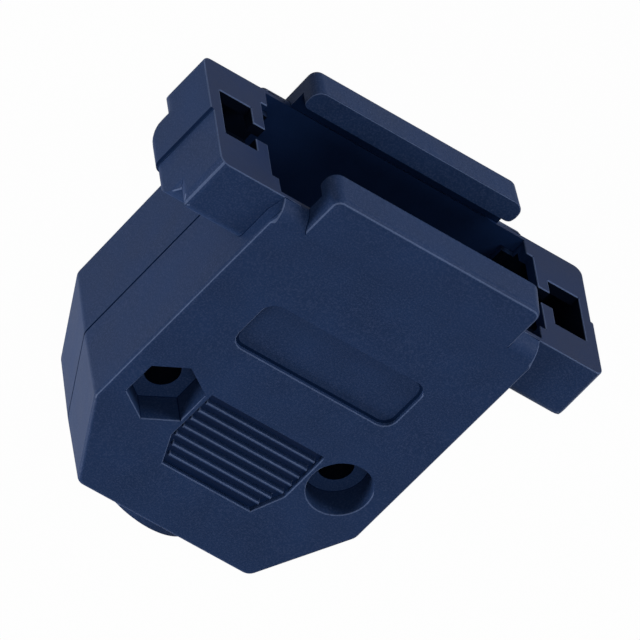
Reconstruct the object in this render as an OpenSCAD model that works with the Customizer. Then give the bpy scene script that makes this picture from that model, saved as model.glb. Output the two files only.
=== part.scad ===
// Two-piece moulded hood for a 15-way D-subminiature connector.
// The two half shells are the same moulding, turned half a turn about Y.
// Drawing frame: y = 0 is the mating face of the ears, z = 0 the joint
// between the halves. seat() moves it to the base of the finished hood.

/* [Body] */
// Distance from the mating face to the flat rear end
body_len = 31.4; // [26:0.1:40]
// Half width of the body at the joint
body_half_w = 13.34; // [12.9:0.02:14]
// Half width of the flat rear end
rear_half_w = 8.75; // [7.5:0.05:11]
// Distance from the mating face to where the sides start to narrow
side_len = 23.4; // [20:0.1:26]
// Half thickness of the closed hood at its rear end
rear_half_h = 7.45; // [7:0.05:9]
// Slope of the big faces, thinner towards the cable end, in degrees
face_draft = 1.1; // [0:0.1:2]
// How far the sides lean in over the height of a half
side_draft = 0.1; // [0:0.02:0.3]
// Thickness of the side and rear walls
side_wall = 1.4; // [1:0.1:2]
// Half height of the room inside
room_half_h = 6.05; // [5.2:0.05:6.2]
// Radius of the upright corners of the body
body_corner_r = 1.1; // [0.3:0.1:2]
// Radius of the edge round each big face
face_edge_r = 0.35; // [0.2:0.05:0.8]
// Radius of the front edge, at the shoulders beside the lip
shoulder_r = 1.8; // [0.6:0.1:1.9]
// Height of the bevel on each half along the joint line
joint_bevel = 0.1; // [0.04:0.02:0.3]
// Depth of the fine groove that the two bevels leave along the joint
joint_groove = 0.2; // [0.06:0.02:0.4]

/* [Lip] */
// Distance from the middle of a half to the left end of its lip
lip_left = 10.5; // [8:0.1:11.5]
// Distance from the middle of a half to the right end of its lip
lip_right = 10.7; // [8:0.1:11.5]
// How far the lip stands in front of the mating face
lip_len = 3.27; // [2.4:0.01:5]
// Half gap between the lips, which takes the flange
flange_half_h = 6.25; // [6.2:0.05:6.6]
// Slot between the mating face and the rib on the lip
flange_slot = 1.3; // [0.8:0.1:2]
// Half gap between the ribs on the lips
lip_rib_half_h = 4.9; // [4:0.1:5.8]
// Radius of the lip's front corners
lip_corner_r = 1; // [0.7:0.1:2]
// Radius of the edge between the lip and the big face
lip_edge_r = 0.55; // [0.2:0.05:0.8]
// How far the lip's front leans back over its height
lip_draft = 0.15; // [0:0.05:0.3]
// Radius of the rear corners of the rib's ends
rib_corner_r = 0.6; // [0.2:0.1:1]

/* [Ears] */
// Distance between the two jackscrews
jack_spacing = 33.3; // [32:0.1:35]
// Distance from the middle of a half to the outer side of its left ear
ear_left = 19.18; // [18.8:0.02:21]
// Distance from the middle of a half to the outer side of its right ear
ear_right = 19.42; // [18.8:0.02:21]
// Half height of the ears
ear_half_h = 6.5; // [5.6:0.05:7]
// Depth of the ears behind the mating face
ear_depth = 5.45; // [4.8:0.05:6.5]
// Radius of the ears' outer edges
ear_edge_r = 0.8; // [0.2:0.1:1.2]
// Radius of the ears' upright rear corner
ear_corner_r = 1.3; // [0.4:0.1:2]
// Thickness of the ears' front wall
ear_front_wall = 0.95; // [0.5:0.05:1.2]
// Thickness of the ears' rear wall
ear_rear_wall = 1.2; // [0.8:0.1:1.6]
// Thickness of the ears' upper wall
ear_top_wall = 1.1; // [0.8:0.1:1.6]
// Width of the jackscrew window
window_w = 3.18; // [2.8:0.02:3.6]
// Half height of the window on the left ear of a half
window_low = 2.33; // [1.8:0.01:3.2]
// Half height of the window on the right ear of a half
window_high = 2.97; // [1.8:0.01:3.2]
// Half height of the side slot on the left ear of a half
side_slot_low = 0.8; // [0.5:0.05:1.6]
// Half height of the side slot on the right ear of a half
side_slot_high = 1.1; // [0.5:0.05:1.6]
// Radius of the jackscrew hole in the rear of the bay
jack_hole_r = 1.65; // [1.4:0.05:1.9]
// How far the jackscrew seat stands behind the ear
seat_depth = 1.95; // [1:0.05:4]
// Half height of the jackscrew seat
seat_half_h = 4.6; // [3.5:0.1:5.4]
// Radius of the jackscrew seat's edges
seat_edge_r = 3.2; // [1:0.1:4]

/* [Mouth] */
// Half width of the mouth near the joint
mouth_half_w = 13.87; // [12.4:0.01:14]
// Half width of the mouth beside the flange's edges
mouth_top_half_w = 13.2; // [12:0.05:13.6]
// Half height of the wide part of the mouth
mouth_step_h = 4.45; // [3.4:0.05:5.2]

/* [Shell screws] */
// Half distance between the two shell screws
screw_x = 8.8; // [7.8:0.05:9.2]
// Distance of the shell screws behind the mating face
screw_y = 20; // [18:0.1:21]
// Radius of the shell screw holes
screw_hole_r = 1.5; // [1.3:0.05:1.8]
// Width across flats of the nut pocket
nut_flats = 5.45; // [5:0.05:5.6]
// Depth of the nut pocket at its centre
nut_depth = 2.8; // [2:0.1:3.2]
// Radius of the screw head pocket
head_r = 2.72; // [2.4:0.02:2.9]
// Depth of the screw head pocket at its centre
head_depth = 2.9; // [2:0.1:3.2]
// Wall round each pocket
pocket_wall = 0.9; // [0.6:0.1:1.2]
// Wall round the screw hole below the pocket
tube_wall = 1.4; // [1:0.1:1.8]

/* [Label recess] */
// Length of the label recess
label_w = 16; // [10:0.1:18]
// Height of the label recess
label_h = 5.2; // [3:0.1:7]
// Distance of its centre behind the mating face
label_y = 10.5; // [8:0.1:12]
// Corner radius of the label recess
label_r = 1.2; // [0.4:0.1:2]
// Depth of the label recess
label_depth = 0.4; // [0.1:0.05:0.6]

/* [Grip] */
// Half width of the ribbed grip
grip_half_w = 5.72; // [4:0.02:5.8]
// Half width of its narrow rear end
grip_rear_half_w = 4.45; // [3:0.05:5.5]
// Distance of its front edge behind the mating face
grip_front_y = 18.1; // [17:0.1:19]
// Distance behind the mating face where it starts to narrow
grip_side_y = 23.1; // [21:0.1:24]
// Distance of its rear edge behind the mating face
grip_rear_y = 25.85; // [24.5:0.05:27]
// Depth of the grip recess
grip_depth = 0.5; // [0.2:0.05:0.7]
// Number of ribs
grip_ribs = 7; // [3:1:9]
// Width of a rib at its foot
grip_rib_foot = 0.42; // [0.2:0.02:0.6]
// Width of a rib at its crest
grip_rib_crest = 0.16; // [0.08:0.02:0.3]
// How far the crests lie below the face
grip_rib_drop = 0.06; // [0:0.01:0.2]
// Gap between a rib's end and the side of the recess
grip_rib_gap = 0.25; // [0.1:0.05:0.6]

/* [Cable end] */
// Outer radius of the cable collar
collar_r = 5.6; // [4.6:0.1:6]
// How far the collar stands behind the rear end
collar_len = 1.5; // [1:0.1:4]
// Radius of the cable passage
cable_r = 4; // [3:0.1:4.2]

/* [Cable clamp] */
// Radius of the cable that the clamp closes on
clamp_r = 2.9; // [2:0.1:3.1]
// Thickness of the clamp's strip
clamp_t = 1; // [0.6:0.1:1.2]
// Width of the clamp's strip
clamp_w = 4; // [3:0.1:4.2]
// Half length of the clamp
clamp_half_len = 7.5; // [7:0.1:7.8]
// Half distance between the clamp's screws
clamp_screw_x = 5.7; // [5.6:0.05:5.8]
// Radius of a clamp screw's shank
clamp_screw_r = 1; // [0.8:0.05:1.2]
// Length of a clamp screw below its head
clamp_screw_len = 4; // [3:0.5:6]
// Radius of a clamp screw's head
clamp_head_r = 1.7; // [1.4:0.05:1.7]
// Height of a clamp screw's head
clamp_head_h = 1.2; // [0.8:0.1:1.6]
// Thickness of the rib in front of the clamp
relief_rib_t = 1; // [0.6:0.1:1.2]
// Half width of the cradle that the clamp lies in
cradle_half_w = 3.6; // [3:0.1:3.7]
// Length of the cradle along the cable
cradle_len = 2; // [1:0.1:3]

/* [Locating pegs] */
// Half distance between the peg and the socket
peg_x = 11; // [10.6:0.1:11.4]
// Distance of the peg behind the mating face
peg_y = 14.5; // [13:0.1:15]
// Radius of the peg
peg_r = 0.8; // [0.6:0.05:1]
// Height of the peg above the joint
peg_h = 1.6; // [1:0.1:2.5]
// Wall round the socket
peg_wall = 0.8; // [0.6:0.1:1.2]

/* [Hidden] */

$fn = 48;
arc_steps = 6;             // straight steps in a rounded corner
cut = 0.5;                 // how far a cut runs past the face it opens
skin = 0.01;               // thickness of a layer inside a hull
slide_gap = 0.1;           // clearance of a piece that drops into its seat
thread_gap = 0.03;         // clearance of a screw in its hole
peg_gap = 0.1;             // clearance of the peg in its socket
slot_depth = 0.5;          // screwdriver slot
slot_w = 0.5;

jack_x = jack_spacing / 2;
window_in = jack_x - window_w / 2;
window_out = jack_x + window_w / 2;
bay_depth = ear_depth - ear_rear_wall;
bay_half_h = ear_half_h - ear_top_wall;
front_half_h = rear_half_h + body_len * tan(face_draft);
collar_end = body_len + collar_len;
// Height of the hood's highest edge above the joint, and the middle of its length
top_z = front_half_h + (lip_len - lip_draft - lip_edge_r) * sin(face_draft);
mid_y = (lip_len - collar_end) / 2;
// The clamp lies against the inner face of the rear wall
relief_back = body_len - side_wall;
relief_y = relief_back - slide_gap - clamp_w / 2;
relief_rib_y = relief_back - 2 * slide_gap - clamp_w - relief_rib_t / 2;
clamp_out_r = clamp_r + clamp_t;
clamp_hole_r = clamp_screw_r + thread_gap;
grip_mid_y = (grip_front_y + grip_rear_y) / 2;
grip_pitch = (grip_rear_y - grip_front_y) / (grip_ribs + 1);

// Plan of the body, each corner with its radius
BODY_PLAN = [
    [body_half_w, 0], [body_half_w, -side_len], [rear_half_w, -body_len],
    [-rear_half_w, -body_len], [-body_half_w, -side_len], [-body_half_w, 0]
];
LIP_PLAN = [
    [lip_right, lip_len], [lip_right, -2 * shoulder_r],
    [-lip_left, -2 * shoulder_r], [-lip_left, lip_len]
];
GRIP_PLAN = [
    [grip_half_w, -grip_front_y], [grip_half_w, -grip_side_y],
    [grip_rear_half_w, -grip_rear_y], [-grip_rear_half_w, -grip_rear_y],
    [-grip_half_w, -grip_side_y], [-grip_half_w, -grip_front_y]
];

function unit(v) = v / norm(v);
function before(p, i) = p[(i + len(p) - 1) % len(p)];
function after(p, i) = p[(i + 1) % len(p)];
// Half of the inner angle at corner i, and the direction into the outline
function half_angle(p, i) = acos(unit(before(p, i) - p[i]) * unit(after(p, i) - p[i])) / 2;
function inward(p, i) = unit(unit(before(p, i) - p[i]) + unit(after(p, i) - p[i]));

// A convex outline moved inwards by d
function inset(p, d) = [for (i = [0:len(p) - 1]) p[i] + inward(p, i) * d / sin(half_angle(p, i))];

// A convex outline with every corner turned to an arc of radius r
function rounded(p, r) = [
    for (i = [0:len(p) - 1])
        let (h = half_angle(p, i), c = p[i] + inward(p, i) * r / sin(h),
             out = -inward(p, i), mid = atan2(out[1], out[0]),
             turn = cross(p[i] - before(p, i), after(p, i) - p[i]) > 0 ? 1 : -1)
        for (k = [0:arc_steps])
            let (a = mid + turn * (90 - h) * (2 * k / arc_steps - 1)) c + r * [cos(a), sin(a)]
];

// Moves a piece from the drawing frame to the base of the finished hood
module seat() {
    translate([0, -mid_y, top_z]) children();
}

// Puts a piece on the big face, y behind the mating face
module on_face(y) {
    translate([0, 0, front_half_h]) rotate([face_draft, 0, 0]) translate([0, -y, 0]) children();
}

// A thin layer of an outline, moved inwards by d, at height z
module layer(p, r, d, z) {
    translate([0, 0, z]) linear_extrude(skin) polygon(rounded(inset(p, d), max(r - d, 0.1)));
}

// The layers that round the edge, of radius e, between an outline's wall and the big face
module face_edge(p, r, draft, e) {
    for (a = [0:15:90])
        on_face(0) layer(p, r, draft + e * (1 - cos(a)), e * (sin(a) - 1) - skin);
}

module body_block() {
    roll_z = front_half_h - shoulder_r;
    hull() {
        layer(BODY_PLAN, body_corner_r, joint_groove, 0);
        layer(BODY_PLAN, body_corner_r, 0, joint_bevel);
        intersection() {
            face_edge(BODY_PLAN, body_corner_r, side_draft, face_edge_r);
            translate([-body_half_w, -body_len - cut, 0])
                cube([2 * body_half_w, body_len + cut - shoulder_r, 2 * front_half_h]);
        }
        translate([0, -shoulder_r, roll_z]) rotate([0, 90, 0])
            cylinder(r = shoulder_r, h = 2 * (body_half_w - side_draft - face_edge_r), center = true);
    }
}

module lip_block() {
    hull() {
        layer(LIP_PLAN, lip_corner_r, 0, lip_rib_half_h);
        face_edge(LIP_PLAN, lip_corner_r, lip_draft, lip_edge_r);
    }
}

// Cuts the lip back to the flange's edge, all but the rib across its front
module lip_cut() {
    rib = [[lip_right, 2 * lip_len], [-lip_left, 2 * lip_len],
           [-lip_left, flange_slot], [lip_right, flange_slot]];
    difference() {
        translate([-ear_right, -3 * shoulder_r, -cut])
            cube([2 * ear_right, 6 * shoulder_r, flange_half_h + cut]);
        linear_extrude(flange_half_h) polygon(rounded(rib, rib_corner_r));
    }
}

// A block from the body out to x = w, its edges rounded and its rear corner by corner_r
module ear_block(w, depth, half_h, r, front, corner_r) {
    inner = mouth_top_half_w - 2;
    intersection() {
        translate([0, front, 0]) rotate([90, 0, 0]) linear_extrude(depth)
            polygon(concat([[inner, 0], [inner, half_h]],
                           [for (a = [90:-15:0])
                                [w - ear_edge_r * (1 - cos(a)), half_h - ear_edge_r * (1 - sin(a))]],
                           [[w, joint_bevel], [w - joint_groove, 0]]));
        rotate([90, 0, 90]) linear_extrude(w)
            polygon(concat([[front, 0], [front, half_h]],
                           [for (a = [90:15:180])
                                [front - depth + r * (1 + cos(a)), half_h - r * (1 - sin(a))]],
                           [[front - depth, 0]]));
        linear_extrude(half_h)
            polygon(concat([[inner, front], [w, front]],
                           [for (a = [0:-15:-90])
                                [w - corner_r * (1 - cos(a)), front - depth + corner_r * (1 + sin(a))]],
                           [[inner, front - depth]]));
    }
}

// An ear out to x = w, with the jackscrew seat behind it
module ear(w) {
    ear_block(w, ear_depth, ear_half_h, ear_edge_r, 0, ear_corner_r);
    ear_block(w, ear_depth + seat_depth - ear_front_wall, seat_half_h, seat_edge_r, -ear_front_wall,
              ear_edge_r);
}

// Cuts for one jackscrew: window and side slot in the front wall, and the hole in the rear
module jack_cuts(window_h, slot_h) {
    wall = ear_front_wall + cut;
    translate([window_in, -wall, -cut]) cube([window_w, wall + cut, window_h + cut]);
    translate([mouth_half_w - cut, -wall, -cut])
        cube([window_in - mouth_half_w + 2 * cut, wall + cut, slot_h + cut]);
    translate([jack_x, -bay_depth + cut, 0]) rotate([90, 0, 0])
        cylinder(r = jack_hole_r, h = ear_depth + seat_depth + cut);
}

// The bay behind the ears' front wall, which runs right across the hood
module bay_cut() {
    translate([-window_out, -bay_depth, -cut])
        cube([2 * window_out, bay_depth - ear_front_wall, bay_half_h + cut]);
}

// Stepped mouth for the connector, in the ears' front wall
module mouth_cut() {
    wall = ear_front_wall + cut;
    translate([-mouth_half_w, -wall, -cut])
        cube([2 * mouth_half_w, wall + cut, mouth_step_h + cut]);
    translate([-mouth_top_half_w, -wall, -cut])
        cube([2 * mouth_top_half_w, wall + cut, room_half_h + cut]);
}

// Room inside, open at the front
module room_cut() {
    inner_w = body_half_w - side_wall;
    translate([0, 0, -cut]) linear_extrude(room_half_h + cut)
        polygon(rounded(inset(BODY_PLAN, side_wall), body_corner_r));
    translate([-inner_w, -bay_depth, -cut])
        cube([2 * inner_w, bay_depth, room_half_h + cut]);
}

// Height of the big face above the joint, y behind the mating face
function face_z(y) = front_half_h - y * tan(face_draft);

// Pillar round a shell screw, wider round the pocket in the face
module screw_pillar(x, pocket_r, depth) {
    floor_z = face_z(screw_y) - depth;
    translate([x, -screw_y, 0]) cylinder(r = screw_hole_r + tube_wall, h = room_half_h + cut);
    translate([x, -screw_y, floor_z - pocket_wall])
        cylinder(r = pocket_r + pocket_wall, h = room_half_h + cut - floor_z + pocket_wall);
}

module screw_hole(x) {
    translate([x, -screw_y, -cut]) cylinder(r = screw_hole_r, h = front_half_h + cut);
}

module nut_pocket() {
    translate([-screw_x, -screw_y, face_z(screw_y) - nut_depth]) rotate(30)
        cylinder(r = nut_flats / 2 / cos(30), h = nut_depth + cut, $fn = 6);
}

module head_pocket() {
    translate([screw_x, -screw_y, face_z(screw_y) - head_depth])
        cylinder(r = head_r, h = head_depth + cut);
}

// Rib and cradle that hold the cable clamp, inside the room
module cable_relief() {
    difference() {
        union() {
            intersection() {
                translate([-body_half_w, -relief_rib_y - relief_rib_t / 2, 0])
                    cube([2 * body_half_w, relief_rib_t, room_half_h + cut]);
                linear_extrude(room_half_h + cut) polygon(inset(BODY_PLAN, side_wall / 2));
            }
            translate([-cradle_half_w, -relief_y - cradle_len / 2, 0])
                cube([2 * cradle_half_w, cradle_len, room_half_h + cut]);
        }
        translate([0, -relief_back - cut, 0]) rotate([-90, 0, 0])
            cylinder(r = cable_r, h = body_len - screw_y);
    }
}

module label_cut() {
    w = label_w / 2;
    h = label_h / 2;
    on_face(label_y) translate([0, 0, -label_depth]) linear_extrude(label_depth + cut)
        polygon(rounded([[w, h], [-w, h], [-w, -h], [w, -h]], label_r));
}

// Half width of the grip recess, y behind the mating face
function grip_half(y) = y < grip_side_y ? grip_half_w
    : grip_half_w + (grip_rear_half_w - grip_half_w) * (y - grip_side_y) / (grip_rear_y - grip_side_y);

module grip_cut() {
    difference() {
        on_face(0) translate([0, 0, -grip_depth]) linear_extrude(grip_depth + cut) polygon(GRIP_PLAN);
        for (k = [1:grip_ribs]) grip_rib(grip_front_y + k * grip_pitch);
    }
}

module grip_rib(y) {
    w = grip_half(y + grip_rib_foot / 2) - grip_rib_gap;
    on_face(y) translate([-w, 0, 0]) rotate([90, 0, 90]) linear_extrude(2 * w)
        polygon([[-grip_rib_foot / 2, -grip_depth - cut], [grip_rib_foot / 2, -grip_depth - cut],
                 [grip_rib_foot / 2, -grip_depth], [grip_rib_crest / 2, -grip_rib_drop],
                 [-grip_rib_crest / 2, -grip_rib_drop], [-grip_rib_foot / 2, -grip_depth]]);
}

// Half ring round the cable behind the rear end
module collar() {
    translate([0, -body_len + side_wall, 0]) rotate([90, 0, 0]) intersection() {
        cylinder(r = collar_r, h = side_wall + collar_len);
        translate([-collar_r, 0, 0]) cube([2 * collar_r, collar_r, side_wall + collar_len]);
    }
}

module cable_cut() {
    translate([0, -collar_end - cut, 0]) rotate([-90, 0, 0])
        cylinder(r = cable_r, h = collar_len + side_wall + 2 * cut);
}

// Blocks on the side walls for the locating peg and its socket
module peg_block(x) {
    translate([x, -peg_y, 0]) cylinder(r = peg_r + peg_gap + peg_wall, h = room_half_h + cut);
}

module half_shell() {
    difference() {
        union() {
            difference() {
                union() {
                    body_block();
                    difference() {
                        lip_block();
                        lip_cut();
                    }
                    ear(ear_right);
                    mirror([1, 0, 0]) ear(ear_left);
                    collar();
                }
                room_cut();
                bay_cut();
                mouth_cut();
            }
            cable_relief();
            screw_pillar(-screw_x, nut_flats / 2 / cos(30), nut_depth);
            screw_pillar(screw_x, head_r, head_depth);
            peg_block(-peg_x);
            peg_block(peg_x);
        }
        jack_cuts(window_high, side_slot_high);
        mirror([1, 0, 0]) jack_cuts(window_low, side_slot_low);
        screw_hole(-screw_x);
        screw_hole(screw_x);
        nut_pocket();
        head_pocket();
        label_cut();
        grip_cut();
        cable_cut();
        translate([peg_x, -peg_y, -cut]) cylinder(r = peg_r + peg_gap, h = peg_h + peg_gap + cut);
    }
    translate([-peg_x, -peg_y, -peg_h]) cylinder(r = peg_r, h = peg_h + cut);
}

// Saddle strip: half a ring over the cable with a flat foot on each side
module clamp_strip(hole_r) {
    translate([0, -relief_y + clamp_w / 2, 0]) rotate([90, 0, 0]) difference() {
        linear_extrude(clamp_w) difference() {
            union() {
                intersection() {
                    circle(r = clamp_out_r);
                    translate([-clamp_out_r, 0]) square([2 * clamp_out_r, clamp_out_r]);
                }
                translate([-clamp_half_len, 0]) square([2 * clamp_half_len, clamp_t]);
            }
            circle(r = clamp_r);
        }
        for (s = [-1, 1])
            translate([s * clamp_screw_x, -cut, clamp_w / 2]) rotate([-90, 0, 0])
                cylinder(r = hole_r, h = clamp_t + 2 * cut);
    }
}

module clamp_screw() {
    difference() {
        cylinder(r = clamp_head_r, h = clamp_head_h);
        translate([-clamp_head_r, -slot_w / 2, clamp_head_h - slot_depth])
            cube([2 * clamp_head_r, slot_w, slot_depth + cut]);
    }
    translate([0, 0, -clamp_screw_len]) cylinder(r = clamp_screw_r, h = clamp_screw_len + cut);
}

module upper_shell() {
    color([0.13, 0.18, 0.30]) seat() half_shell();
}

module lower_shell() {
    color([0.13, 0.18, 0.30]) seat() rotate([0, 180, 0]) half_shell();
}

module upper_clamp() {
    color([0.72, 0.73, 0.75]) seat() clamp_strip(clamp_hole_r);
}

module lower_clamp() {
    color([0.72, 0.73, 0.75]) seat() rotate([0, 180, 0]) clamp_strip(clamp_hole_r);
}

module clamp_screws() {
    color([0.80, 0.80, 0.82]) seat()
        for (s = [-1, 1]) translate([s * clamp_screw_x, -relief_y, clamp_t]) clamp_screw();
}

upper_shell();
lower_shell();
upper_clamp();
lower_clamp();
clamp_screws();
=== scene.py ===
# %% [markdown]
# # A two-part cable hood for a 15-way D-sub connector
# The hood is the plastic housing that closes round the rear of a D-shaped
# connector. Its two halves are built here as the same moulding, one of them
# turned over, and meet on a flat joint. A small steel clamp inside the rear
# wall grips the cable.
#
# This lesson loads the finished construction, sets up camera and light, and gives the mouldings
# their tiny edge rounding and their finish: a grain, a painted highlight on the edges and painted
# shade in the hollows. The scene is in metres, because the frame is, and MM turns millimetres into
# metres.

# %% Load the construction and keep its box
from math import atan, degrees, hypot, radians
import bmesh
import bpy
from mathutils import Matrix, Vector


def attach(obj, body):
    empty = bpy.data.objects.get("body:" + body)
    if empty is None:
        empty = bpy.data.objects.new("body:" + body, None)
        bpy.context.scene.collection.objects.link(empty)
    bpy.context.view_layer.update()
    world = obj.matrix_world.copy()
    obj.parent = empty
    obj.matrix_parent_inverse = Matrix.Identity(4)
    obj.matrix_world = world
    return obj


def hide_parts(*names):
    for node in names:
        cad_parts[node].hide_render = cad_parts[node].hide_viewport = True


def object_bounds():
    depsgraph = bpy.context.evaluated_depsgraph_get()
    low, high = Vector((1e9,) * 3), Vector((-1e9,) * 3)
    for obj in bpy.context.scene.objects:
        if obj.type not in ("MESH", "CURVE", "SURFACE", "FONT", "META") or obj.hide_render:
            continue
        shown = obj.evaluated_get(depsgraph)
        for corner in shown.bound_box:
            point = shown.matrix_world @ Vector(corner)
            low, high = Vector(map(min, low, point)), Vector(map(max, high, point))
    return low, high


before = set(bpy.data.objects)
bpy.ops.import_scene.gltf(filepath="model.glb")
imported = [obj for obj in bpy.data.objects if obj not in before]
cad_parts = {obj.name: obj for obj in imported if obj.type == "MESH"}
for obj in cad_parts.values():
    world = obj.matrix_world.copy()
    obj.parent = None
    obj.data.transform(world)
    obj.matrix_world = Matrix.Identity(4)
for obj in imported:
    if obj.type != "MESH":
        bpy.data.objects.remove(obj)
cad_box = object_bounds()
MM = 0.001
low, high = Vector(cad_box[0]), Vector(cad_box[1])
centre = (low + high) / 2
print("nodes:", sorted(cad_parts))
print("size in mm:", [round(v / MM, 2) for v in high - low])

# %% [markdown]
# ## Camera
# The hood is seen from above its left ear, along a direction that shows the
# big face, the mating side and the left sides together. A very long lens keeps
# parallel edges nearly parallel, as in a catalogue picture. The three axes of
# the camera are written as a matrix, whose columns are right, up and back.

# %% Place the camera
LIP_LENGTH = 3.27 * MM
FRONT = high.y - LIP_LENGTH
JOINT = centre.z
RIGHT = Vector((0.77030, 0.62904, 0.10465))
UP = Vector((-0.43091, 0.63443, -0.64173))
BACK = Vector((-0.47006, 0.44922, 0.75976))
CAMERA_SPOT = Vector((-530.03, 495.78, 858.69)) * MM

camera_data = bpy.data.cameras.new("camera")
camera_data.lens = 810.53
camera_data.sensor_width = 36
camera_data.clip_end = 20
camera = bpy.data.objects.new("camera", camera_data)
bpy.context.scene.collection.objects.link(camera)
place = Matrix((RIGHT, UP, BACK)).transposed().to_4x4()
place.translation = CAMERA_SPOT + Vector((0, FRONT, JOINT))
camera.matrix_world = place
bpy.context.scene.camera = camera
bpy.context.scene.view_settings.view_transform = "Standard"
print("camera looks down at", round(degrees(atan(BACK.z / BACK.xy.length)), 1), "degrees")

# %% [markdown]
# ## Floor and room
# A hood this dark needs a bright, even room, or its bays, painted almost black as shade, swallow
# the edges. The floor is a plain pale sheet. A stronger lamp could make it white, but would light
# the hood too. So most of its brightness is written straight into the material, for rays that come
# from the camera or from a reflection.
# It then reads as white paper, keeps a faint shadow of the hood, and the
# plastic's gloss mirrors a pale room. The world does the same: it shows white,
# and lights the hood at a fifth of that.

# %% Which rays see the background


def sees_background(tree):
    """Adds nodes that give 1 for camera, glossy and transmission rays, and 0 for others."""
    path = tree.nodes.new("ShaderNodeLightPath")
    total = path.outputs["Is Camera Ray"]
    for ray in ("Is Glossy Ray", "Is Transmission Ray"):
        add = tree.nodes.new("ShaderNodeMath")
        add.operation = "ADD"
        add.use_clamp = True
        tree.links.new(total, add.inputs[0])
        tree.links.new(path.outputs[ray], add.inputs[1])
        total = add.outputs[0]
    return total


# %% Floor
FLOOR_SIZE = 8
FLOOR_GREY = 0.4
FLOOR_GLOW = 0.98
bpy.ops.object.select_all(action="DESELECT")
bpy.ops.mesh.primitive_plane_add(size=FLOOR_SIZE, location=(0, 0, low.z))
floor = bpy.context.object
floor.name = "floor"

floor_paint = bpy.data.materials.new("floor_paint")
floor_paint.use_nodes = True
nodes, links = floor_paint.node_tree.nodes, floor_paint.node_tree.links
nodes.clear()
paper = nodes.new("ShaderNodeBsdfDiffuse")
paper.inputs["Color"].default_value = (FLOOR_GREY, FLOOR_GREY, FLOOR_GREY, 1)
glow = nodes.new("ShaderNodeEmission")
glow.inputs["Color"].default_value = (1, 1, 1, 1)
share = nodes.new("ShaderNodeMath")
share.operation = "MULTIPLY"
share.inputs[1].default_value = FLOOR_GLOW
mix = nodes.new("ShaderNodeMixShader")
out = nodes.new("ShaderNodeOutputMaterial")
links.new(sees_background(floor_paint.node_tree), share.inputs[0])
links.new(share.outputs[0], mix.inputs["Fac"])
links.new(paper.outputs[0], mix.inputs[1])
links.new(glow.outputs[0], mix.inputs[2])
links.new(mix.outputs[0], out.inputs["Surface"])
floor.data.materials.append(floor_paint)
print("floor lies at z =", round(low.z / MM, 3), "mm")

# %% Room light
ROOM_LIGHT = 0.2
world = bpy.data.worlds.new("room")
bpy.context.scene.world = world
world.use_nodes = True
sky = world.node_tree.nodes["Background"]
sky.inputs["Color"].default_value = (1, 1, 1, 1)
strength = world.node_tree.nodes.new("ShaderNodeMapRange")
strength.inputs["To Min"].default_value = ROOM_LIGHT
strength.inputs["To Max"].default_value = 1.0
world.node_tree.links.new(sees_background(world.node_tree), strength.inputs["Value"])
world.node_tree.links.new(strength.outputs["Result"], sky.inputs["Strength"])
print("room light:", ROOM_LIGHT)

# %% [markdown]
# ### Lamps
# A sun lamp would be quick to place, but its shadows are hard. Square lamps of
# 35 to 40 centimetres stand round a hood of four centimetres instead, and their
# shadows are soft. The left lamp lights the left sides, the front lamp the
# mating side, and a weaker one above lights the big face.

# %% Lamps


def lamp(name, direction, distance, size, power):
    """A square soft lamp that looks at the hood from the given direction."""
    data = bpy.data.lights.new(name, "AREA")
    data.size = size
    data.energy = power
    item = bpy.data.objects.new(name, data)
    bpy.context.scene.collection.objects.link(item)
    ray = Vector(direction).normalized()
    item.location = centre + ray * distance
    item.rotation_euler = ray.to_track_quat("Z", "Y").to_euler()
    print(name, [round(v, 2) for v in item.location])


lamp("left_lamp", (-0.55, -0.8, 0.15), distance=0.8, size=0.4, power=11.5)
lamp("front_lamp", (0.45, 0.85, 0.12), distance=0.8, size=0.4, power=7.1)
lamp("top_lamp", (-0.25, 0.35, 1.0), distance=0.9, size=0.35, power=3.3)

# %% [markdown]
# ## Materials
# The halves are moulded in dark blue plastic. It is given the fine, even grain
# that a spark-eroded tool leaves: pits of about a tenth of a millimetre that
# scatter the light, and a few brighter specks. Pits that small would need
# millions of faces, so noise textures draw them instead. The grain, the specks
# and the small change of tone are one node group, so that each plastic can
# take them at its own strength.

# %% Node group for the moulded grain


def group_socket(tree, name, way, kind, value=None):
    """Adds one named socket to a node group and gives it its first value."""
    socket = tree.interface.new_socket(name=name, in_out=way, socket_type=kind)
    if value is not None:
        socket.default_value = value


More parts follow.
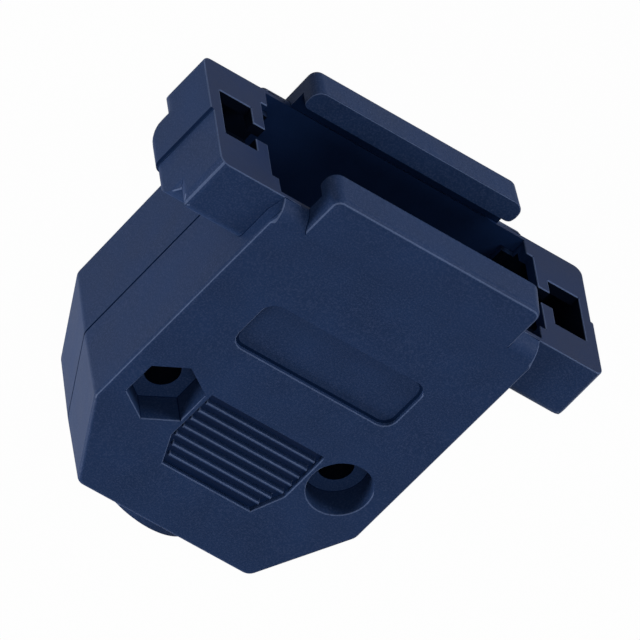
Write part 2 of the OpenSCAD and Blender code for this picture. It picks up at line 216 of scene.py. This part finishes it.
def moulded_grain():
    """Builds the group: colour, roughness and height of a spark-eroded face."""
    tree = bpy.data.node_groups.new("moulded_grain", "ShaderNodeTree")
    group_socket(tree, "Colour", "INPUT", "NodeSocketColor", (0.02, 0.03, 0.07, 1))
    group_socket(tree, "Speck colour", "INPUT", "NodeSocketColor", (0.06, 0.08, 0.13, 1))
    group_socket(tree, "Roughness", "INPUT", "NodeSocketFloat", 0.6)
    group_socket(tree, "Grain", "INPUT", "NodeSocketFloat", 1.0)
    group_socket(tree, "Colour", "OUTPUT", "NodeSocketColor")
    group_socket(tree, "Roughness", "OUTPUT", "NodeSocketFloat")
    group_socket(tree, "Height", "OUTPUT", "NodeSocketFloat")
    n, k = tree.nodes, tree.links
    given = n.new("NodeGroupInput")
    result = n.new("NodeGroupOutput")
    place = n.new("ShaderNodeTexCoord")

    fine = n.new("ShaderNodeTexNoise")
    fine.inputs["Scale"].default_value = 7000
    fine.inputs["Detail"].default_value = 2
    fine.inputs["Roughness"].default_value = 0.6
    broad = n.new("ShaderNodeTexNoise")
    broad.inputs["Scale"].default_value = 260
    broad.inputs["Detail"].default_value = 3
    for texture in (fine, broad):
        k.new(place.outputs["Object"], texture.inputs["Vector"])

    specks = n.new("ShaderNodeMapRange")
    specks.inputs["From Min"].default_value = 0.45
    specks.inputs["From Max"].default_value = 0.75
    k.new(fine.outputs["Fac"], specks.inputs["Value"])
    amount = n.new("ShaderNodeMath")
    amount.operation = "MULTIPLY"
    k.new(specks.outputs["Result"], amount.inputs[0])
    k.new(given.outputs["Grain"], amount.inputs[1])

    tone = n.new("ShaderNodeMapRange")
    tone.inputs["From Min"].default_value = 0.3
    tone.inputs["From Max"].default_value = 0.7
    tone.inputs["To Min"].default_value = 0.9
    tone.inputs["To Max"].default_value = 1.1
    k.new(broad.outputs["Fac"], tone.inputs["Value"])
    toned = n.new("ShaderNodeVectorMath")
    toned.operation = "SCALE"
    k.new(given.outputs["Colour"], toned.inputs[0])
    k.new(tone.outputs["Result"], toned.inputs["Scale"])

    colour = n.new("ShaderNodeMix")
    colour.data_type = "RGBA"
    k.new(amount.outputs[0], colour.inputs["Factor"])
    k.new(toned.outputs["Vector"], colour.inputs["A"])
    k.new(given.outputs["Speck colour"], colour.inputs["B"])
    k.new(colour.outputs["Result"], result.inputs["Colour"])

    dull = n.new("ShaderNodeMapRange")
    dull.inputs["To Min"].default_value = -0.08
    dull.inputs["To Max"].default_value = 0.08
    k.new(broad.outputs["Fac"], dull.inputs["Value"])
    rough = n.new("ShaderNodeMath")
    rough.operation = "ADD"
    k.new(given.outputs["Roughness"], rough.inputs[0])
    k.new(dull.outputs["Result"], rough.inputs[1])
    k.new(rough.outputs[0], result.inputs["Roughness"])
    k.new(fine.outputs["Fac"], result.inputs["Height"])
    return tree


GRAIN = moulded_grain()
print("grain group sockets:", [s.name for s in GRAIN.interface.items_tree])

# %% Plastic of the two halves


def shell_plastic(name, colour, speck, roughness, grain, gloss=0.06):
    """Dark moulded plastic; the shader's plain values stay on its own sockets."""
    mat = bpy.data.materials.new(name)
    mat.use_nodes = True
    n, k = mat.node_tree.nodes, mat.node_tree.links
    shader = n["Principled BSDF"]
    shader.inputs["Specular IOR Level"].default_value = gloss
    group = n.new("ShaderNodeGroup")
    group.node_tree = GRAIN
    group.inputs["Colour"].default_value = (*colour, 1)
    group.inputs["Speck colour"].default_value = (*speck, 1)
    group.inputs["Roughness"].default_value = roughness
    group.inputs["Grain"].default_value = grain
    bump = n.new("ShaderNodeBump")
    bump.inputs["Strength"].default_value = 0.35
    bump.inputs["Distance"].default_value = 0.00003
    k.new(group.outputs["Colour"], shader.inputs["Base Color"])
    k.new(group.outputs["Roughness"], shader.inputs["Roughness"])
    k.new(group.outputs["Height"], bump.inputs["Height"])
    k.new(bump.outputs["Normal"], shader.inputs["Normal"])
    return mat


# %% [markdown]
# ### One plastic, five tones
# A hood like this is moulded in one plastic. Light gathers on its rounded edges and is lost in its
# creases and hollows, and these plain soft lamps show too little of either. More lamps could bring
# that out, but would light the whole hood differently. So the same plastic is made in five tones,
# and each face takes a tone by its place: plain; a painted highlight, lighter, on edges; painted
# shade, darker, in the room apart from its pillars, on the grip's floor and in creases; and painted
# shade, almost black, in the bays and screw holes. The highlight and the shades are painted into
# the colour, and they stay on the mesh in any other light.

# %% The tones of the plastic: plain, painted highlight and painted shades
NAVY = (0.0082, 0.0212, 0.063)
SPECK = (0.026, 0.042, 0.098)
upper_plastic = shell_plastic("upper_plastic", NAVY, SPECK, roughness=0.55, grain=0.8)
lower_plastic = shell_plastic("lower_plastic", NAVY, SPECK, roughness=0.57, grain=0.8)
# painted highlight: a lighter tone for the middle of fillets and the bands on outer edges
painted_highlight_plastic = shell_plastic("painted_highlight_plastic", (0.045, 0.068, 0.138), (0.07, 0.1, 0.18),
                             roughness=0.45, grain=0.8)
# painted shade: darker, for the faces inside the room, mouth and bays, and for the grip's floor
hollow_shade_plastic = shell_plastic("hollow_shade_plastic", (0.005, 0.0145, 0.050), (0.009, 0.020, 0.062),
                             roughness=0.4, grain=0.3, gloss=0.05)
# painted shade: darker still, for the lip slots, the joint's groove, the hollow edge bands and the
# ring round the label floor
crease_shade_plastic = shell_plastic("crease_shade_plastic", (0.002, 0.008, 0.030), (0.004, 0.012, 0.04),
                               roughness=0.6, grain=0.5, gloss=0.02)
# painted shade: almost black, for the bays beside the room and the screw holes
deep_shade_plastic = shell_plastic("deep_shade_plastic", (0.0008, 0.002, 0.006), (0.001, 0.003, 0.008),
                             roughness=0.6, grain=0.3, gloss=0.02)
# the four tones after the plain plastic: one painted highlight and three painted shades
LIGHT_AND_SHADE_TONES = (painted_highlight_plastic, hollow_shade_plastic, crease_shade_plastic, deep_shade_plastic)
SLOTS = range(len(LIGHT_AND_SHADE_TONES) + 1)  # slot 0 is a half's plain plastic
# EDGE is the slot of the painted highlight; the other three slots hold painted shade
EDGE, HOLLOW_SHADE, CREASE_SHADE, DEEP_SHADE = SLOTS[1:]
print("tones:", [tone.name for tone in LIGHT_AND_SHADE_TONES])

# %% [markdown]
# ## The two halves
# The construction's mesh must stay as it is, so each half is copied, and the copy is dressed. A
# face or an edge gets its finish by where it lies: its plain tone, a painted highlight or painted
# shade. That could be painted by hand, but a rule on its place treats both halves alike.

# %% Places on a half, in mm
# x from the middle, y from the mating face (behind it is negative), z from the joint
SKIN = 0.02  # how near to a wall counts as on it
SLANT_X, SLANT_Y = 13.34, -23.4  # where the side turns in towards the cable
SLANT_NORMAL, SLANT_WALL = (0.867, -0.498), 1.37
SCREW_X, SCREW_Y, HOLE_R, POCKET_R = 8.8, -20, 1.6, 3.5
ROOM_X, ROOM_REAR, ROOM_Z = 11.97, -30.02, 6.07
BAY_X, BAY_INNER, BAY_REAR, BAY_Z = 18.26, 14, -4.27, 5.42
WALL_REAR = -0.95  # the rear of the front wall, which the mouth goes through
MOUTH_STEPS = ((18.3, 3), (13.9, 4.47), (13.23, ROOM_Z))  # half width and height of each
LIP_SLOT_X, LIP_SLOT_FRONT, LIP_SLOT_Z = 13.1, 1.35, 6.3
GRIP_X, GRIP_REAR, GRIP_FRONT, GRIP_LOW = 5.8, -26, -18, 6
GRIP_FLOOR, GRIP_RISE = 7.85, 0.0207  # height at y = 0, and rise per mm to the front
print("mating face at y =", round(FRONT / MM, 2), "mm, joint at z =", round(JOINT / MM, 2), "mm")


def place_of(point):
    """x from the middle, y from the mating face and z from the joint, in mm."""
    return abs(point.x) / MM, (point.y - FRONT) / MM, abs(point.z - JOINT) / MM


def from_screw(x, y):
    """Distance from the shell screw's axis."""
    return hypot(x - SCREW_X, y - SCREW_Y)


def is_deep(point):
    """True in the bays beside the room and in the holes for the shell screws."""
    x, y, z = place_of(point)
    bay = BAY_INNER < x < BAY_X and BAY_REAR < y < -SKIN and z < BAY_Z
    return bay or from_screw(x, y) < HOLE_R


def in_grip(point):
    """True in the ribbed grip."""
    x, y, z = place_of(point)
    return x < GRIP_X and GRIP_REAR < y < GRIP_FRONT and z > GRIP_LOW


def on_grip_floor(point):
    """True on the floor between the ribs, which slopes as the big face does."""
    _, y, z = place_of(point)
    return in_grip(point) and z < GRIP_FLOOR + GRIP_RISE * y


def is_inside(point):
    """True in the room, bays, mouth and lip slots, but not round a shell screw.

    That leaves out the screws' pockets, and also the pillars inside the room.
    """
    x, y, z = place_of(point)
    slant = SLANT_NORMAL[0] * (x - SLANT_X) + SLANT_NORMAL[1] * (y - SLANT_Y)
    room = x < ROOM_X and slant < -SLANT_WALL and ROOM_REAR < y < WALL_REAR + SKIN and z < ROOM_Z
    bay = x < BAY_X and BAY_REAR < y < WALL_REAR + SKIN and z < BAY_Z
    stepped = any(x < width and z < height for width, height in MOUTH_STEPS)
    mouth = WALL_REAR - SKIN < y < -SKIN and stepped
    slot = x < LIP_SLOT_X and WALL_REAR - SKIN < y < LIP_SLOT_FRONT and z < LIP_SLOT_Z
    return (room or bay or mouth or slot) and from_screw(x, y) >= POCKET_R


# %% [markdown]
# ### Copy and merge
# A half could be modelled again by hand, but a copy keeps the construction's
# sizes. It comes as loose triangles. Merging their corners and joining the flat
# ones gives whole faces, which a bevel can round cleanly.

# %% Copy a half
WELD = 1e-6
FLAT = radians(0.4)


def only(item):
    """Selects one object and nothing else, and makes it active."""
    bpy.ops.object.select_all(action="DESELECT")
    item.select_set(True)
    bpy.context.view_layer.objects.active = item


def merged_copy(node, name):
    """A copy of a node with its doubles merged and its flat faces joined."""
    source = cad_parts[node]
    mesh = source.data.copy()
    copy = bpy.data.objects.new(name, mesh)
    bpy.context.scene.collection.objects.link(copy)
    only(copy)
    bpy.ops.object.mode_set(mode="EDIT")
    bpy.ops.mesh.select_all(action="SELECT")
    bpy.ops.mesh.remove_doubles(threshold=WELD)
    bpy.ops.mesh.dissolve_limited(angle_limit=FLAT)
    bpy.ops.object.mode_set(mode="OBJECT")
    print(name, len(source.data.polygons), "triangles ->", len(mesh.polygons), "faces")
    return copy


# %% [markdown]
# ### Choose the tones
# Each face is asked where it lies and which way it looks. The middle strip of a fillet takes the
# painted highlight, and the room and the slots take the tones of painted shade. Insetting the label
# recess's floor gives it a narrow ring of painted shade, which stands for the shade under its step.
# A groove could do that too, but the ring leaves the floor flat.

# %% Tone of each face
# a slope is the upward part of a face's normal: 0 on a wall, 1 on a level floor
STEEP, LEVEL = 0.5, 0.97
FILLET_SLOPE, FILLET_LOW = (0.7, 0.85), 4
SHOULDER_Y, LENGTHWISE = (-2.5, 0.5), 0.3
JOINT_RIM, RIM_SLOPE = 0.11, 0.95


def is_fillet_middle(face):
    """True on a fillet's middle strip, away from the shoulders and the rear, where the painted
    highlight goes.

    A known flaw: the cable collar's round wall slants the same way in four places and gets a small
    patch of painted highlight in each. A limit on y would mend it.
    """
    _, y, z = place_of(face.center)
    shoulder = abs(face.normal.y) > LENGTHWISE and SHOULDER_Y[0] < y < SHOULDER_Y[1]
    rear = face.normal.y < -LENGTHWISE
    tilted = FILLET_SLOPE[0] < abs(face.normal.z) < FILLET_SLOPE[1]
    return tilted and z > FILLET_LOW and not shoulder and not rear


def tone_faces(item):
    """Gives every face of a half the tone that belongs to its place: plain, painted highlight or
    painted shade.
    """
    for face in item.data.polygons:
        x, y, z = place_of(face.center)
        slope = abs(face.normal.z)
        if is_deep(face.center) and (slope < STEEP or x > BAY_INNER):
            face.material_index = DEEP_SHADE
        elif is_inside(face.center):
            face.material_index = CREASE_SHADE if y > SKIN else HOLLOW_SHADE
        # the grip's floor between the ribs takes painted shade
        elif on_grip_floor(face.center) and slope > LEVEL:
            face.material_index = HOLLOW_SHADE
        elif is_fillet_middle(face):
            face.material_index = EDGE
        # sloping faces beside the joint take painted shade, for the shade in the joint's groove
        elif z < JOINT_RIM and slope < RIM_SLOPE:
            face.material_index = CREASE_SHADE
    used = [face.material_index for face in item.data.polygons]
    print(item.name, "faces of each tone:", [used.count(tone) for tone in SLOTS])


# %% Ring of painted shade in the label recess
LABEL_AREA, LABEL_Y = (78, 86), (-12, -9)  # square mm, and mm from the mating face
LABEL_RING = 0.26 * MM


def paint_label_shade_ring(item):
    """Gives a narrow ring round the label recess's floor the crease tone: painted shade under the
    recess's step.
    """
    only(item)
    bpy.ops.object.mode_set(mode="EDIT")
    bpy.ops.mesh.select_mode(type="FACE")
    bpy.ops.mesh.select_all(action="DESELECT")
    form = bmesh.from_edit_mesh(item.data)
    for face in form.faces:
        area = face.calc_area() / MM ** 2
        _, y, _ = place_of(face.calc_center_median())
        face.select_set(LABEL_AREA[0] < area < LABEL_AREA[1] and LABEL_Y[0] < y < LABEL_Y[1]
                        and abs(face.normal.z) > 0.99)
    bmesh.update_edit_mesh(item.data)
    print(item.name, "label floors:", sum(face.select for face in form.faces))
    bpy.ops.mesh.inset(thickness=LABEL_RING, use_select_inset=False)
    form = bmesh.from_edit_mesh(item.data)
    inner = {face for face in form.faces if face.select}
    ring = {near for face in inner for edge in face.edges for near in edge.link_faces} - inner
    for face in ring:
        face.material_index = CREASE_SHADE
    bmesh.update_edit_mesh(item.data)
    bpy.ops.object.mode_set(mode="OBJECT")


# %% [markdown]
# ### Round the edges
# A moulded edge is never knife sharp: it is rounded by a few hundredths of a millimetre, and that
# thin band catches the light as a fine line. A Bevel modifier could do it, but it would need
# weights on the edges first, and one modifier for each tone. The bevel operator rounds just the
# edges that are chosen, and gives the new band its own tone: a painted highlight on outer edges and
# painted shade on hollow ones. Clamping is off, because one short edge would otherwise shrink every
# band.

# %% Bands of painted highlight on edges and painted shade in creases
OUTER_BAND = 0.08 * MM
HOLLOW_BAND = 0.05 * MM
SHARP = radians(30)  # a flatter edge belongs to a fillet
REARWARD = -0.5
JOINT_CLEAR = 0.25  # mm beside the joint without bands


def is_rounded(edge, outer):
    """True for an outer or hollow edge that takes a band."""
    if len(edge.link_faces) != 2 or edge.is_convex != outer:
        return False
    middle = (edge.verts[0].co + edge.verts[1].co) / 2
    rear = min(face.normal.y for face in edge.link_faces) < REARWARD
    kept_sharp = rear if outer else in_grip(middle)
    return (edge.calc_face_angle() > SHARP and place_of(middle)[2] > JOINT_CLEAR
            and not is_inside(middle) and not is_deep(middle) and not kept_sharp)


def round_edges(item, width, outer, tone):
    """Rounds the outer or hollow edges; the narrow band gets that tone, here a painted highlight on
    outer edges and painted shade on hollow ones.
    """
    only(item)
    bpy.ops.object.mode_set(mode="EDIT")
    bpy.ops.mesh.select_mode(type="EDGE")
    bpy.ops.mesh.select_all(action="DESELECT")
    form = bmesh.from_edit_mesh(item.data)
    for edge in form.edges:
        edge.select_set(is_rounded(edge, outer))
    form.select_flush_mode()
    bmesh.update_edit_mesh(item.data)
    count = sum(edge.select for edge in form.edges)
    bpy.ops.mesh.bevel(offset=width, segments=2, affect="EDGES", clamp_overlap=False, material=tone)
    bpy.ops.object.mode_set(mode="OBJECT")
    print(item.name, count, "outer" if outer else "hollow", "edges rounded")


# %% Smooth fillets
FILLET_ANGLE = radians(24)


def smooth_fillets(item):
    """Shades the fillets smooth while the large faces stay flat."""
    only(item)
    bpy.ops.object.shade_smooth_by_angle(angle=FILLET_ANGLE)
    flat = item.modifiers.new("flat_faces", "WEIGHTED_NORMAL")
    flat.keep_sharp = True
    flat.weight = 100
    bpy.ops.object.modifier_apply(modifier=flat.name)


# %% Dress both halves
for node, plastic in (("upper_shell", upper_plastic), ("lower_shell", lower_plastic)):
    half = merged_copy(node, node + "_moulding")
    half.data.materials.clear()
    for tone in (plastic, *LIGHT_AND_SHADE_TONES):
        half.data.materials.append(tone)
    tone_faces(half)
    paint_label_shade_ring(half)
    round_edges(half, OUTER_BAND, True, EDGE)
    round_edges(half, HOLLOW_BAND, False, CREASE_SHADE)
    smooth_fillets(half)
    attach(half, "root")
    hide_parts(node)

# %% [markdown]
# ## The cable clamp
# The clamp lies inside the hood, in front of the rear wall, and is all but
# hidden. Its strips are pressed steel and its screws are the same metal, both
# thinly plated with zinc. An image of plating could be wrapped round them, but
# a noise on Object coordinates gives the same slow patches of tone and needs
# no unwrapping. The construction's shapes stay, and only the materials change.

# %% Node group and steels


def zinc_film():
    """Builds the group: colour and roughness of a thin zinc plating."""
    tree = bpy.data.node_groups.new("zinc_film", "ShaderNodeTree")
    group_socket(tree, "Colour", "INPUT", "NodeSocketColor", (0.5, 0.5, 0.48, 1))
    group_socket(tree, "Patch size", "INPUT", "NodeSocketFloat", 600.0)
    group_socket(tree, "Colour", "OUTPUT", "NodeSocketColor")
    group_socket(tree, "Roughness", "OUTPUT", "NodeSocketFloat")
    n, k = tree.nodes, tree.links
    given, result = n.new("NodeGroupInput"), n.new("NodeGroupOutput")
    place = n.new("ShaderNodeTexCoord")
    patch = n.new("ShaderNodeTexNoise")
    patch.inputs["Detail"].default_value = 4
    k.new(place.outputs["Object"], patch.inputs["Vector"])
    k.new(given.outputs["Patch size"], patch.inputs["Scale"])
    tone = n.new("ShaderNodeMapRange")
    tone.inputs["To Min"].default_value = 0.8
    tone.inputs["To Max"].default_value = 1.15
    k.new(patch.outputs["Fac"], tone.inputs["Value"])
    toned = n.new("ShaderNodeVectorMath")
    toned.operation = "SCALE"
    k.new(given.outputs["Colour"], toned.inputs[0])
    k.new(tone.outputs["Result"], toned.inputs["Scale"])
    k.new(toned.outputs["Vector"], result.inputs["Colour"])
    rough = n.new("ShaderNodeMapRange")
    rough.inputs["To Min"].default_value = 0.25
    rough.inputs["To Max"].default_value = 0.5
    k.new(patch.outputs["Fac"], rough.inputs["Value"])
    k.new(rough.outputs["Result"], result.inputs["Roughness"])
    return tree


ZINC = zinc_film()


def plated_steel(name, colour, patch):
    """Plated steel: metallic is plain, colour and roughness come from the film."""
    mat = bpy.data.materials.new(name)
    mat.use_nodes = True
    n, k = mat.node_tree.nodes, mat.node_tree.links
    shader = n["Principled BSDF"]
    shader.inputs["Metallic"].default_value = 1.0
    group = n.new("ShaderNodeGroup")
    group.node_tree = ZINC
    group.inputs["Colour"].default_value = (*colour, 1)
    group.inputs["Patch size"].default_value = patch
    k.new(group.outputs["Colour"], shader.inputs["Base Color"])
    k.new(group.outputs["Roughness"], shader.inputs["Roughness"])
    return mat


clamp_steel = plated_steel("clamp_steel", (0.52, 0.52, 0.50), 500)
screw_steel = plated_steel("screw_steel", (0.60, 0.60, 0.57), 1200)
for node, steel in (("upper_clamp", clamp_steel), ("lower_clamp", clamp_steel),
                    ("clamp_screws", screw_steel)):
    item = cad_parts[node]
    item.data.materials.clear()
    item.data.materials.append(steel)
    print(node, "takes", steel.name)
